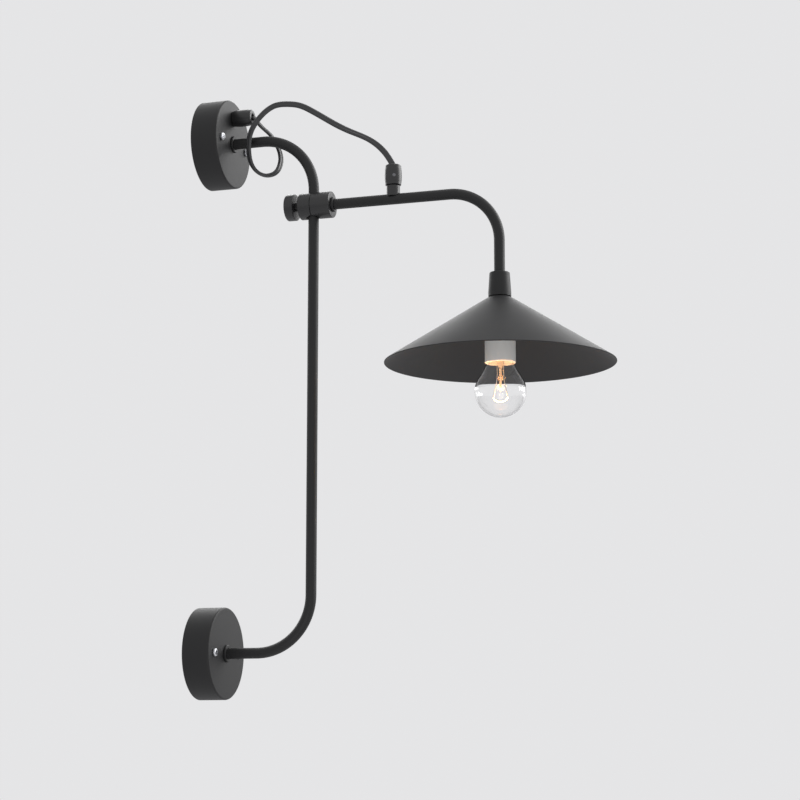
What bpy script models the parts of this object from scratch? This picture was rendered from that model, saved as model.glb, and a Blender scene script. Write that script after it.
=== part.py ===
"""Swing arm wall sconce.

Two wall cups carry a bent tube. A clamp on the tube's upright leg slides and swivels, and
holds an arm with a cone shade, a lampholder and a bulb. A flat cord joins the upper cup to
the arm. Metres. The origin is on the wall at the centre of the upper cup, +Y points into
the wall and +Z is up, so the lamp reaches along -Y.
"""

import math

import bmesh
import bpy
import numpy as np
from mathutils import Matrix, Vector

# Overall sizes
CUP_DIAMETER = 0.081
CUP_DEPTH = 0.025
CUP_SPACING = 0.464
TUBE_DIAMETER = 0.0095
TUBE_STANDOFF = 0.104  # wall to the upright leg's axis
WALL_BEND_RADIUS = 0.050
ARM_REACH = 0.173  # upright leg's axis to the shade's axis
ARM_BEND_RADIUS = 0.045
ARM_GLAND_REACH = 0.0755  # upright leg's axis to the gland on the arm
SHADE_DIAMETER = 0.201
SHADE_HEIGHT = 0.0583
BULB_DIAMETER = 0.045
BULB_LENGTH = 0.078
SOCKET_CUP_HEIGHT = 0.0218
HOLDER_DIAMETER = 0.0267
CORD_DIAMETER = 0.0042  # a round cord of the flat cord's section area

# Walls, clearances and small pieces
GAP = 0.0003  # between pieces that touch
TUBE_WALL = 0.001
CUP_WALL = 0.0012
SHADE_WALL = 0.001
COLLAR_WALL = 0.0025
COLLAR_LENGTH = 0.0016
WASHER_THICKNESS = 0.001
NUT_THICKNESS = 0.004
NUT_WALL = 0.0022  # from the bore to a flat
TUBE_END_PAST_NUT = 0.003
STRAP_THICKNESS = 0.0015
STRAP_WIDTH = 0.014
STRAP_END = 0.005  # past the cover screws
SLOT_WIDTH = 0.0045
SLOT_LENGTH = 0.009
SLOT_EDGE = 0.005  # from a slot to the cover screw next to it
COVER_SCREW_EDGE = 0.0125  # from the cup's rim to a cover screw's axis
COVER_SCREW_RADIUS = 0.002
SCREW_HEAD_RADIUS = 0.0035
SCREW_HEAD_HEIGHT = 0.0022
GLAND_EDGE = 0.0162  # from the cup's rim to the wall gland's axis
GLAND_RADIUS = 0.0077
GLAND_LENGTH = 0.0185
GLAND_BORE = 0.003
GLAND_THREAD_RADIUS = 0.0042
GLAND_FOOT_RADIUS = 0.006
GLAND_FOOT_HEIGHT = 0.0075
SET_SCREW_RADIUS = 0.0015
ARM_SET_SCREW_TURN = math.radians(24)  # from -X towards the room
SADDLE_DEPTH = 0.0015  # that the gland's foot reaches down round the tube
TERMINAL_SIZE = (0.020, 0.011, 0.012)
TERMINAL_LIFT = 0.0025  # off the strap
TERMINAL_DROP = 0.0205  # below the cup's centre
TERMINAL_SCREW_X = 0.005
TERMINAL_SCREW_RADIUS = 0.0018
TERMINAL_SCREW_LENGTH = 0.0012
LEAD_RADIUS = 0.0011
CLAMP_RADIUS = 0.012
CLAMP_FRONT = 0.018
CLAMP_REAR = 0.0118
BUSH_WALL = 0.0013
BUSH_LENGTH = 0.020
CLAMP_SCREW_RADIUS = 0.00125
CLAMP_SCREW_HEAD = 0.0021
CLAMP_SCREW_DEPTH = 0.008  # into the front half
STUD_RADIUS = 0.003
STEM_RADIUS = 0.004
STUD_IN_KNOB = 0.005
PAD_THICKNESS = 0.0012
KNOB_RADIUS = 0.012
KNOB_THICKNESS = 0.0084
KNOB_GAP = 0.005
LOCK_NUT_THICKNESS = 0.002
LOCK_NUT_WALL = 0.0016
ARM_TUBE_SET_BACK = 0.0015  # from the clamp's bush
ARM_TUBE_IN_HOLDER = 0.009
SOCKET_CUP_TOP = 0.0089
SOCKET_CUP_FOOT = 0.010
SOCKET_CUP_WALL = 0.0012
HOLDER_WALL = 0.0016
HOLDER_TOP = 0.0065  # under the shade's top
HOLDER_LENGTH = 0.0518
HOLDER_ROUND = 0.004
SHELL_TOP = 0.033  # above the holder's foot
SHELL_FOOT = 0.012  # above the holder's foot
CONTACT_RADIUS = 0.0045
CONTACT_GAP = 0.0002  # above the bulb's tip
SHELL_WALL = 0.0005
CAP_RADIUS = 0.0069
CAP_LENGTH = 0.019
CAP_WALL = 0.0005
GLASS_WALL = 0.0008
STEM_CLEARANCE = 0.0005  # between the stem's flare and the glass round it
INNER_CORD_RADIUS = 0.0016
FILAMENT_RADIUS = 0.00035
FILAMENT_SPAN = 0.0124
BULB_DROP = 0.0249  # from the holder's foot to the globe's centre

# Worked out from the sizes above
TUBE_RADIUS = TUBE_DIAMETER / 2
TUBE_HOLE = TUBE_RADIUS + GAP
TUBE_BORE = TUBE_RADIUS - TUBE_WALL
CUP_RADIUS = CUP_DIAMETER / 2
ARM_Z = -(WALL_BEND_RADIUS + CLAMP_RADIUS + 0.0026)
SHADE_TOP_Z = -(ARM_BEND_RADIUS + 0.029 + SOCKET_CUP_HEIGHT)
SHADE_RIM_Z = SHADE_TOP_Z - SHADE_HEIGHT
HOLDER_FOOT_Z = SHADE_TOP_Z - HOLDER_TOP - HOLDER_LENGTH
GLAND_Z = CUP_RADIUS - GLAND_EDGE
COVER_SCREW_X = CUP_RADIUS - COVER_SCREW_EDGE
BUSH_RADIUS = TUBE_HOLE + BUSH_WALL
HOLDER_RADIUS = HOLDER_DIAMETER / 2
BULB_RADIUS = BULB_DIAMETER / 2
SHELL_BORE = CAP_RADIUS + GAP
GLASS_NECK_RADIUS = CAP_RADIUS - CAP_WALL - GAP
STEM_FLARE_RADIUS = GLASS_NECK_RADIUS - GLASS_WALL - STEM_CLEARANCE

OUTWARD = (math.pi / 2, 0, 0)  # turns a piece's +Z to the room
WALLWARD = (-math.pi / 2, 0, 0)  # turns a piece's +Z to the wall

# The cord's route in the open, from the wall gland round the upper leg to the arm gland.
CORD_ROUTE = [
    (0.0000, -0.0444, 0.0243),
    (0.0008, -0.0484, 0.0190),
    (0.0048, -0.0534, 0.0132),
    (0.0088, -0.0585, 0.0078),
    (0.0105, -0.0635, -0.0010),
    (0.0090, -0.0678, -0.0110),
    (0.0050, -0.0692, -0.0212),
    (0.0000, -0.0663, -0.0304),
    (-0.0050, -0.0585, -0.0334),
    (-0.0088, -0.0494, -0.0272),
    (-0.0105, -0.0452, -0.0160),
    (-0.0108, -0.0444, -0.0050),
    (-0.0105, -0.0464, 0.0070),
    (-0.0100, -0.0520, 0.0171),
    (-0.0095, -0.0600, 0.0252),
    (-0.0095, -0.0690, 0.0298),
    (-0.0098, -0.0810, 0.0301),
    (-0.0102, -0.0930, 0.0276),
    (-0.0108, -0.1055, 0.0210),
    (-0.0110, -0.1160, 0.0142),
    (-0.0108, -0.1290, 0.0058),
    (-0.0088, -0.1420, -0.0012),
    (-0.0050, -0.1560, -0.0077),
    (-0.0020, -0.1664, -0.0152),
    (-0.0004, -0.1745, -0.0250),
    (-0.0002, -0.1793, -0.0333),
]
CORD_MEETING = 19  # the route's point beside the upright leg, where its two stretches meet


def clear_scene():
    for obj in list(bpy.data.objects):
        bpy.data.objects.remove(obj)


def make_material(name, colour, roughness, metallic=0.0, alpha=1.0):
    material = bpy.data.materials.new(name)
    material.use_nodes = True
    shader = material.node_tree.nodes["Principled BSDF"]
    shader.inputs["Base Color"].default_value = (*colour, 1.0)
    shader.inputs["Roughness"].default_value = roughness
    shader.inputs["Metallic"].default_value = metallic
    shader.inputs["Alpha"].default_value = alpha
    return material


def make_frame(name, location, parent=None):
    """An empty that pieces are placed in. A moving group's frame is on its joint's axis."""
    frame = bpy.data.objects.new(name, None)
    bpy.context.collection.objects.link(frame)
    frame.location = location
    frame.parent = parent
    return frame


def make_object(name, bm, material, location=(0, 0, 0), rotation=(0, 0, 0), parent=None):
    bmesh.ops.recalc_face_normals(bm, faces=bm.faces)
    mesh = bpy.data.meshes.new(name)
    bm.to_mesh(mesh)
    bm.free()
    mesh.shade_smooth()
    mesh.set_sharp_from_angle(angle=math.radians(35))
    obj = bpy.data.objects.new(name, mesh)
    bpy.context.collection.objects.link(obj)
    obj.location = location
    obj.rotation_euler = rotation
    obj.parent = parent
    if material:
        mesh.materials.append(material)
    return obj


def turned(name, profile, material, segments=24, ring=True, **place):
    """A piece turned about its own Z. A ring's profile of (radius, height) points closes
    on itself. A solid one's ends lie on the axis."""
    bm = bmesh.new()
    points = [bm.verts.new((radius, 0, height)) for radius, height in profile]
    for first, second in zip(points, points[1:]):
        bm.edges.new((first, second))
    if ring:
        bm.edges.new((points[-1], points[0]))
    outline = bm.verts[:] + bm.edges[:]
    bmesh.ops.spin(
        bm, geom=outline, cent=(0, 0, 0), axis=(0, 0, 1),
        angle=math.tau, steps=segments, use_merge=True,
    )
    bmesh.ops.remove_doubles(bm, verts=bm.verts, dist=1e-6)
    return make_object(name, bm, material, **place)


def washer(name, bore, radius, thickness, material, segments=24, **place):
    profile = [(bore, 0), (radius, 0), (radius, thickness), (bore, thickness)]
    return turned(name, profile, material, segments, **place)


def rod(name, radius, length, material, segments=16, **place):
    profile = [(0, 0), (radius, 0), (radius, length), (0, length)]
    return turned(name, profile, material, segments, ring=False, **place)


def block(name, size, material, bevel=0.0, **place):
    bm = bmesh.new()
    bmesh.ops.create_cube(bm, size=1, matrix=Matrix.Diagonal((*size, 1)))
    obj = make_object(name, bm, material, **place)
    if bevel:
        modifier = obj.modifiers.new("Bevel", "BEVEL")
        modifier.width = bevel
        modifier.segments = 2
    return obj


def cut(obj, cutter):
    """Takes the cutter's shape out of the object."""
    modifier = obj.modifiers.new("Cut " + cutter.name, "BOOLEAN")
    modifier.operation = "DIFFERENCE"
    modifier.object = cutter
    cutter.hide_render = True
    cutter.display_type = "WIRE"


def drill(obj, name, radius, length, segments=16, **place):
    cut(obj, rod(name, radius, length, None, segments, **place))


def hex_nut(name, bore, thickness, material, **place):
    across = bore + NUT_WALL
    bm = bmesh.new()
    corner = across / math.cos(math.pi / 6)
    bmesh.ops.create_cone(
        bm, cap_ends=True, segments=6, radius1=corner, radius2=corner, depth=thickness,
        matrix=Matrix.Translation((0, 0, thickness / 2)),
    )
    nut = make_object(name, bm, material, **place)
    drill(nut, name + "_bore", bore, 3 * thickness, 24, location=(0, 0, -thickness), parent=nut)
    return nut


def tube_stations(start, direction, legs, steps=8):
    """The places and directions along a tube's centreline. A leg is either
    ("straight", length) or ("bend", radius, the new direction), a quarter turn."""
    centre = Vector(start)
    direction = Vector(direction)
    stations = [(centre, direction)]
    for leg in legs:
        if leg[0] == "straight":
            centre = centre + direction * leg[1]
            stations.append((centre, direction))
            continue
        radius, towards = leg[1], Vector(leg[2])
        pivot = centre + towards * radius
        for k in range(1, steps + 1):
            angle = math.pi / 2 * k / steps
            spoke = direction * math.sin(angle) - towards * math.cos(angle)
            along = direction * math.cos(angle) + towards * math.sin(angle)
            stations.append((pivot + spoke * radius, along))
        centre, direction = stations[-1]
    return stations


def swept_tube(name, radius, bore, stations, material, segments=16, **place):
    """A hollow tube through the stations, which lie in one plane across X."""
    bm = bmesh.new()
    side = Vector((1, 0, 0))
    turn = [math.tau * k / segments for k in range(segments)]
    rims = []
    for centre, along in stations:
        up = along.cross(side)
        for size in (radius, bore):
            spokes = [math.cos(a) * side + math.sin(a) * up for a in turn]
            rims.append([bm.verts.new(centre + size * spoke) for spoke in spokes])
    outer, inner = rims[0::2], rims[1::2]
    loop = outer + inner[::-1]
    for first, second in zip(loop, loop[1:] + loop[:1]):
        for k in range(segments):
            after = (k + 1) % segments
            bm.faces.new((first[k], first[after], second[after], second[k]))
    return make_object(name, bm, material, **place)


def smooth_points(route, spacing, first=0, last=None, gap=0.0):
    """Evenly spaced points on a natural cubic curve through the route's points. They cover
    the stretch between two of those points, less half a gap at an end inside the route."""
    points = np.array(route)
    steps = np.linalg.norm(np.diff(points, axis=0), axis=1)
    at = np.concatenate([[0], np.cumsum(steps)])
    count = len(points)
    matrix = np.eye(count)
    right = np.zeros((count, 3))
    for k in range(1, count - 1):
        matrix[k, k - 1] = steps[k - 1]
        matrix[k, k] = 2 * (steps[k - 1] + steps[k])
        matrix[k, k + 1] = steps[k]
        slopes = (points[k + 1] - points[k]) / steps[k] - (points[k] - points[k - 1]) / steps[k - 1]
        right[k] = 6 * slopes
    bend = np.linalg.solve(matrix, right)
    last = count - 1 if last is None else last
    low = at[first] + (gap / 2 if first > 0 else 0)
    high = at[last] - (gap / 2 if last < count - 1 else 0)
    where = np.linspace(low, high, max(2, round((high - low) / spacing)) + 1)
    k = np.clip(np.searchsorted(at, where) - 1, 0, count - 2)
    step = steps[k][:, None]
    before = (at[k + 1] - where)[:, None]
    after = (where - at[k])[:, None]
    return (
        bend[k] * before**3 / (6 * step)
        + bend[k + 1] * after**3 / (6 * step)
        + (points[k] / step - bend[k] * step / 6) * before
        + (points[k + 1] / step - bend[k + 1] * step / 6) * after
    )


def wire(name, points, radius, material, parent=None):
    """A round wire or cord through the points of a smooth curve."""
    curve = bpy.data.curves.new(name, "CURVE")
    curve.dimensions = "3D"
    curve.bevel_depth = radius
    curve.bevel_resolution = 2
    curve.use_fill_caps = True
    spline = curve.splines.new("POLY")
    spline.points.add(len(points) - 1)
    for point, place in zip(spline.points, points):
        point.co = (*place, 1)
    curve.materials.append(material)
    obj = bpy.data.objects.new(name, curve)
    bpy.context.collection.objects.link(obj)
    obj.parent = parent
    return obj


def set_screw(name, gland, height, turn, reach, material):
    """A small screw through a gland's wall, and its hole. turn is about the gland's axis."""
    spin = Matrix.Rotation(turn, 4, "Z") @ Matrix.Rotation(math.pi / 2, 4, "Y")
    hole = rod(name + "_hole", SET_SCREW_RADIUS + GAP, 2 * reach, None, 12, parent=gland)
    hole.matrix_local = Matrix.Translation((0, 0, height)) @ spin
    cut(gland, hole)
    inset = GLAND_BORE + GAP
    screw = rod(name, SET_SCREW_RADIUS, reach - inset, material, 12, parent=gland)
    screw.matrix_local = Matrix.Translation((0, 0, height)) @ spin @ Matrix.Translation((0, 0, inset))


def gland_profile(bottom):
    """A cord gland's barrel, a little wider at mid height."""
    waist = GLAND_RADIUS - 0.0006
    return [
        (GLAND_BORE, bottom),
        (waist, bottom),
        (GLAND_RADIUS, bottom + GLAND_LENGTH * 0.35),
        (GLAND_RADIUS, bottom + GLAND_LENGTH * 0.65),
        (waist + 0.0003, bottom + GLAND_LENGTH - 0.0006),
        (waist - 0.0004, bottom + GLAND_LENGTH),
        (GLAND_BORE, bottom + GLAND_LENGTH),
    ]


def cup_set(which, frame, black, zinc, steel):
    """A wall cup with the strap behind it, its two cover screws, and what fixes the tube's
    end in its front wall."""
    strap_length = 2 * (COVER_SCREW_X + STRAP_END)
    strap = block(
        which + "_wall_strap", (strap_length, STRAP_THICKNESS, STRAP_WIDTH), steel,
        location=(0, -STRAP_THICKNESS / 2, 0), parent=frame,
    )
    cup = turned(
        which + "_cup",
        [
            (CUP_RADIUS - CUP_WALL, 0),
            (CUP_RADIUS, 0),
            (CUP_RADIUS, CUP_DEPTH - 0.0018),
            (CUP_RADIUS - 0.0005, CUP_DEPTH - 0.0006),
            (CUP_RADIUS - 0.0018, CUP_DEPTH),
            (0, CUP_DEPTH),
            (0, CUP_DEPTH - CUP_WALL),
            (CUP_RADIUS - CUP_WALL - 0.001, CUP_DEPTH - CUP_WALL),
            (CUP_RADIUS - CUP_WALL, CUP_DEPTH - CUP_WALL - 0.001),
        ],
        black, 32, rotation=OUTWARD, parent=frame,
    )
    drill(cup, which + "_tube_hole", TUBE_HOLE, CUP_DEPTH * 2, 24, location=(0, 0, 0.005), parent=cup)
    slot_x = COVER_SCREW_X - COVER_SCREW_RADIUS - SLOT_EDGE - SLOT_LENGTH / 2
    for side, sign in (("left", -1), ("right", 1)):
        x = sign * COVER_SCREW_X
        clearance = COVER_SCREW_RADIUS + GAP
        drill(
            cup, f"{which}_cover_hole_{side}", clearance, CUP_DEPTH * 2, 12,
            location=(x, 0, 0.005), parent=cup,
        )
        drill(
            strap, f"{which}_strap_hole_{side}", clearance, 0.01, 12,
            location=(x, 0.005, 0), rotation=OUTWARD, parent=strap,
        )
        slot = block(
            f"{which}_strap_slot_{side}", (SLOT_LENGTH, 0.01, SLOT_WIDTH), None,
            location=(sign * slot_x, 0, 0), parent=strap,
        )
        cut(strap, slot)
        seat = CUP_DEPTH + GAP
        screw_end = 0.0006
        turned(
            f"{which}_cover_screw_{side}",
            [
                (0, screw_end),
                (COVER_SCREW_RADIUS, screw_end),
                (COVER_SCREW_RADIUS, seat),
                (SCREW_HEAD_RADIUS, seat),
                (SCREW_HEAD_RADIUS, seat + SCREW_HEAD_HEIGHT * 0.45),
                (SCREW_HEAD_RADIUS * 0.75, seat + SCREW_HEAD_HEIGHT * 0.85),
                (0, seat + SCREW_HEAD_HEIGHT),
            ],
            zinc, 16, ring=False, location=(x, 0, 0), rotation=OUTWARD, parent=frame,
        )
    washer(
        which + "_tube_collar", TUBE_HOLE, TUBE_HOLE + COLLAR_WALL, COLLAR_LENGTH, black,
        location=(0, -CUP_DEPTH - GAP, 0), rotation=OUTWARD, parent=frame,
    )
    behind = CUP_DEPTH - CUP_WALL - GAP
    washer(
        which + "_tube_washer", TUBE_HOLE, TUBE_HOLE + NUT_WALL + 0.001, WASHER_THICKNESS, zinc,
        location=(0, -behind, 0), rotation=WALLWARD, parent=frame,
    )
    hex_nut(
        which + "_tube_nut", TUBE_HOLE, NUT_THICKNESS, zinc,
        location=(0, WASHER_THICKNESS + GAP - behind, 0), rotation=WALLWARD, parent=frame,
    )
    return cup


def wall_side(black, zinc, steel, white, lead):
    """The two cups, the tube between them, the wall gland and the terminal block."""
    upper = make_frame("upper_cup_frame", (0, 0, 0))
    lower = make_frame("lower_cup_frame", (0, 0, -CUP_SPACING))
    upper_cup = cup_set("upper", upper, black, zinc, steel)
    cup_set("lower", lower, black, zinc, steel)
    tube_end = CUP_DEPTH - CUP_WALL - WASHER_THICKNESS - NUT_THICKNESS - 2 * GAP - TUBE_END_PAST_NUT
    leg = TUBE_STANDOFF - WALL_BEND_RADIUS - tube_end
    line = tube_stations(
        (0, -tube_end, 0), (0, -1, 0),
        [
            ("straight", leg),
            ("bend", WALL_BEND_RADIUS, (0, 0, -1)),
            ("straight", CUP_SPACING - 2 * WALL_BEND_RADIUS),
            ("bend", WALL_BEND_RADIUS, (0, 1, 0)),
            ("straight", leg),
        ],
    )
    swept_tube("wall_tube", TUBE_RADIUS, TUBE_BORE, line, black)
    drill(
        upper_cup, "gland_hole", GLAND_THREAD_RADIUS + GAP, CUP_DEPTH * 2, 16,
        location=(0, GLAND_Z, 0.005), parent=upper_cup,
    )
    gland_nut_at = CUP_DEPTH - CUP_WALL - GAP
    thread_end = gland_nut_at - NUT_THICKNESS - 0.001
    barrel_at = CUP_DEPTH + GAP
    gland = turned(
        "wall_gland",
        [(GLAND_BORE, thread_end), (GLAND_THREAD_RADIUS, thread_end), (GLAND_THREAD_RADIUS, barrel_at)]
        + gland_profile(barrel_at)[1:],
        black, location=(0, 0, GLAND_Z), rotation=OUTWARD, parent=upper,
    )
    screw_height = barrel_at + GLAND_LENGTH * 0.55
    set_screw("wall_gland_screw", gland, screw_height, -math.pi / 2, GLAND_RADIUS, zinc)
    hex_nut(
        "wall_gland_nut", GLAND_THREAD_RADIUS + GAP, NUT_THICKNESS, black,
        location=(0, -gland_nut_at, GLAND_Z), rotation=WALLWARD, parent=upper,
    )
    terminal_back = STRAP_THICKNESS + TERMINAL_LIFT
    terminal = Vector((0, -terminal_back - TERMINAL_SIZE[1] / 2, -TERMINAL_DROP))
    block("terminal_block", TERMINAL_SIZE, white, 0.001, location=terminal, parent=upper)
    for side, sign in (("left", -1), ("right", 1)):
        front = terminal + Vector((sign * TERMINAL_SCREW_X, -TERMINAL_SIZE[1] / 2 - GAP, 0))
        rod(
            f"terminal_screw_{side}", TERMINAL_SCREW_RADIUS, TERMINAL_SCREW_LENGTH, zinc, 12,
            location=front, rotation=OUTWARD, parent=upper,
        )
        top = terminal.z + TERMINAL_SIZE[2] / 2 + GAP
        route = [
            (sign * 0.0014, -thread_end, GLAND_Z),
            (sign * 0.0014, -thread_end + 0.004, GLAND_Z - 0.0006),
            (sign * 0.0020, terminal.y - 0.0004, GLAND_Z - 0.006),
            (sign * 0.0040, terminal.y + 0.0010, GLAND_Z * 0.4),
            (sign * TERMINAL_SCREW_X, terminal.y, top + 0.004),
            (sign * TERMINAL_SCREW_X, terminal.y, top),
        ]
        wire(f"wall_lead_{side}", smooth_points(route, 0.004), LEAD_RADIUS, lead, upper)


def clamp(arm, carriage, black, zinc, nylon):
    """The two clamp halves on their nylon bush, with the screws that join them and the
    knob that locks them. The arm's frame is where the arm's axis meets the tube's."""
    washer(
        "clamp_bush", TUBE_HOLE, BUSH_RADIUS, BUSH_LENGTH, nylon, 20,
        location=(0, 0, -BUSH_LENGTH / 2), parent=carriage,
    )
    bush_hole = BUSH_RADIUS + GAP
    screw_x = (bush_hole + CLAMP_RADIUS) / 2
    front = rod("clamp_front", CLAMP_RADIUS, CLAMP_FRONT, black, 32, rotation=OUTWARD, parent=arm)
    rear = rod(
        "clamp_rear", CLAMP_RADIUS, CLAMP_REAR - GAP, black, 32,
        location=(0, GAP, 0), rotation=WALLWARD, parent=arm,
    )
    for half in (front, rear):
        drill(
            half, half.name + "_bush_hole", bush_hole, 4 * CLAMP_RADIUS, 20,
            location=(0, 0, -2 * CLAMP_RADIUS), parent=arm,
        )
    drill(
        front, "arm_hole", TUBE_HOLE, CLAMP_FRONT, 24,
        location=(0, -bush_hole / 2, 0), rotation=OUTWARD, parent=arm,
    )
    drill(
        rear, "stud_hole", STUD_RADIUS + GAP, CLAMP_REAR * 2, 16,
        rotation=WALLWARD, parent=arm,
    )
    for side, sign in (("left", -1), ("right", 1)):
        x = sign * screw_x
        head = CLAMP_REAR - 0.002
        drill(
            front, f"clamp_thread_{side}", CLAMP_SCREW_RADIUS + GAP, 2 * CLAMP_SCREW_DEPTH, 12,
            location=(x, CLAMP_SCREW_DEPTH - GAP, 0), rotation=OUTWARD, parent=arm,
        )
        drill(
            rear, f"clamp_clearance_{side}", CLAMP_SCREW_RADIUS + GAP, CLAMP_REAR * 2, 12,
            location=(x, -0.001, 0), rotation=WALLWARD, parent=arm,
        )
        drill(
            rear, f"clamp_counterbore_{side}", CLAMP_SCREW_HEAD + GAP, CLAMP_REAR, 16,
            location=(x, head - GAP, 0), rotation=WALLWARD, parent=arm,
        )
        turned(
            f"clamp_screw_{side}",
            [
                (0, -CLAMP_SCREW_DEPTH + 0.001),
                (CLAMP_SCREW_RADIUS, -CLAMP_SCREW_DEPTH + 0.001),
                (CLAMP_SCREW_RADIUS, head),
                (CLAMP_SCREW_HEAD, head),
                (CLAMP_SCREW_HEAD, CLAMP_REAR - GAP),
                (0, CLAMP_REAR - GAP),
            ],
            zinc, 12, ring=False, location=(x, 0, 0), rotation=WALLWARD, parent=arm,
        )
    pad_frame = make_frame("pad_frame", (0, 0, 0), arm)
    knob_frame = make_frame("knob_frame", (0, 0, 0), pad_frame)
    pad_at = BUSH_RADIUS + GAP
    rod(
        "clamp_pad", STUD_RADIUS - 0.0002, PAD_THICKNESS, nylon, 16,
        location=(0, pad_at, 0), rotation=WALLWARD, parent=pad_frame,
    )
    tip = pad_at + PAD_THICKNESS + GAP
    knob_at = CLAMP_REAR + KNOB_GAP
    stud_end = knob_at + STUD_IN_KNOB
    turned(
        "clamp_stud",
        [
            (0, tip),
            (STUD_RADIUS, tip),
            (STUD_RADIUS, CLAMP_REAR + GAP),
            (STEM_RADIUS, CLAMP_REAR + GAP),
            (STEM_RADIUS, knob_at - GAP),
            (STUD_RADIUS, knob_at - GAP),
            (STUD_RADIUS, stud_end),
            (0, stud_end),
        ],
        black, 20, ring=False, rotation=WALLWARD, parent=knob_frame,
    )
    back = knob_at + KNOB_THICKNESS
    turned(
        "clamp_knob",
        [
            (STUD_RADIUS + GAP, knob_at),
            (KNOB_RADIUS - 0.0003, knob_at),
            (KNOB_RADIUS, knob_at + 0.0003),
            (KNOB_RADIUS, back - 0.0014),
            (KNOB_RADIUS - 0.0014, back),
            (0, back),
            (0, stud_end + GAP),
            (STUD_RADIUS + GAP, stud_end + GAP),
        ],
        black, 32, rotation=WALLWARD, parent=knob_frame,
    )


def arm_side(arm, black, zinc, cord):
    """The arm tube with its lock nut, and the gland that the cord goes in by."""
    start = BUSH_RADIUS + 2 * GAP + ARM_TUBE_SET_BACK
    tube_end = SHADE_TOP_Z - HOLDER_TOP - ARM_TUBE_IN_HOLDER
    line = tube_stations(
        (0, -start, 0), (0, -1, 0),
        [
            ("straight", ARM_REACH - ARM_BEND_RADIUS - start),
            ("bend", ARM_BEND_RADIUS, (0, 0, -1)),
            ("straight", -tube_end - ARM_BEND_RADIUS),
        ],
    )
    tube = swept_tube("arm_tube", TUBE_RADIUS, TUBE_BORE, line, black, parent=arm)
    washer(
        "arm_lock_nut", TUBE_HOLE, TUBE_HOLE + LOCK_NUT_WALL, LOCK_NUT_THICKNESS, black,
        location=(0, -CLAMP_FRONT - GAP, 0), rotation=OUTWARD, parent=arm,
    )
    drill(
        tube, "arm_cord_hole", GLAND_BORE + GAP, 2 * TUBE_DIAMETER, 16,
        location=(0, -ARM_GLAND_REACH, 0), parent=arm,
    )
    foot_top = TUBE_RADIUS + GLAND_FOOT_HEIGHT
    foot = washer(
        "arm_gland_foot", GLAND_BORE, GLAND_FOOT_RADIUS, GLAND_FOOT_HEIGHT + SADDLE_DEPTH, black,
        location=(0, -ARM_GLAND_REACH, TUBE_RADIUS - SADDLE_DEPTH), parent=arm,
    )
    saddle = rod(
        "saddle", TUBE_HOLE, 0.04, None, 24,
        location=(0, 0.02 - ARM_GLAND_REACH, 0), rotation=OUTWARD, parent=arm,
    )
    cut(foot, saddle)
    gland = turned(
        "arm_gland", gland_profile(0), black,
        location=(0, -ARM_GLAND_REACH, foot_top + GAP), parent=arm,
    )
    turn = math.pi + ARM_SET_SCREW_TURN
    set_screw("arm_gland_screw", gland, GLAND_LENGTH * 0.42, turn, GLAND_RADIUS, zinc)
    mouth = foot_top + GLAND_LENGTH - 0.001
    route = [(0, -ARM_GLAND_REACH, mouth), (0, -ARM_GLAND_REACH, mouth - 0.010)]
    turn_in = [(0.0004, 0.0045), (0.0014, 0.0026), (0.0029, 0.0010), (0.0052, 0.0), (0.0100, -0.0004)]
    for along, height in turn_in:
        route.append((0, -ARM_GLAND_REACH - along, height))
    for k in range(5):
        angle = math.pi / 2 * k / 4
        across = ARM_REACH - ARM_BEND_RADIUS * (1 - math.sin(angle))
        route.append((0, -across, -ARM_BEND_RADIUS * (1 - math.cos(angle))))
    route.append((0, -ARM_REACH, tube_end - 0.002))
    wire("inner_cord", smooth_points(route, 0.005), INNER_CORD_RADIUS, cord, arm)


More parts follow.
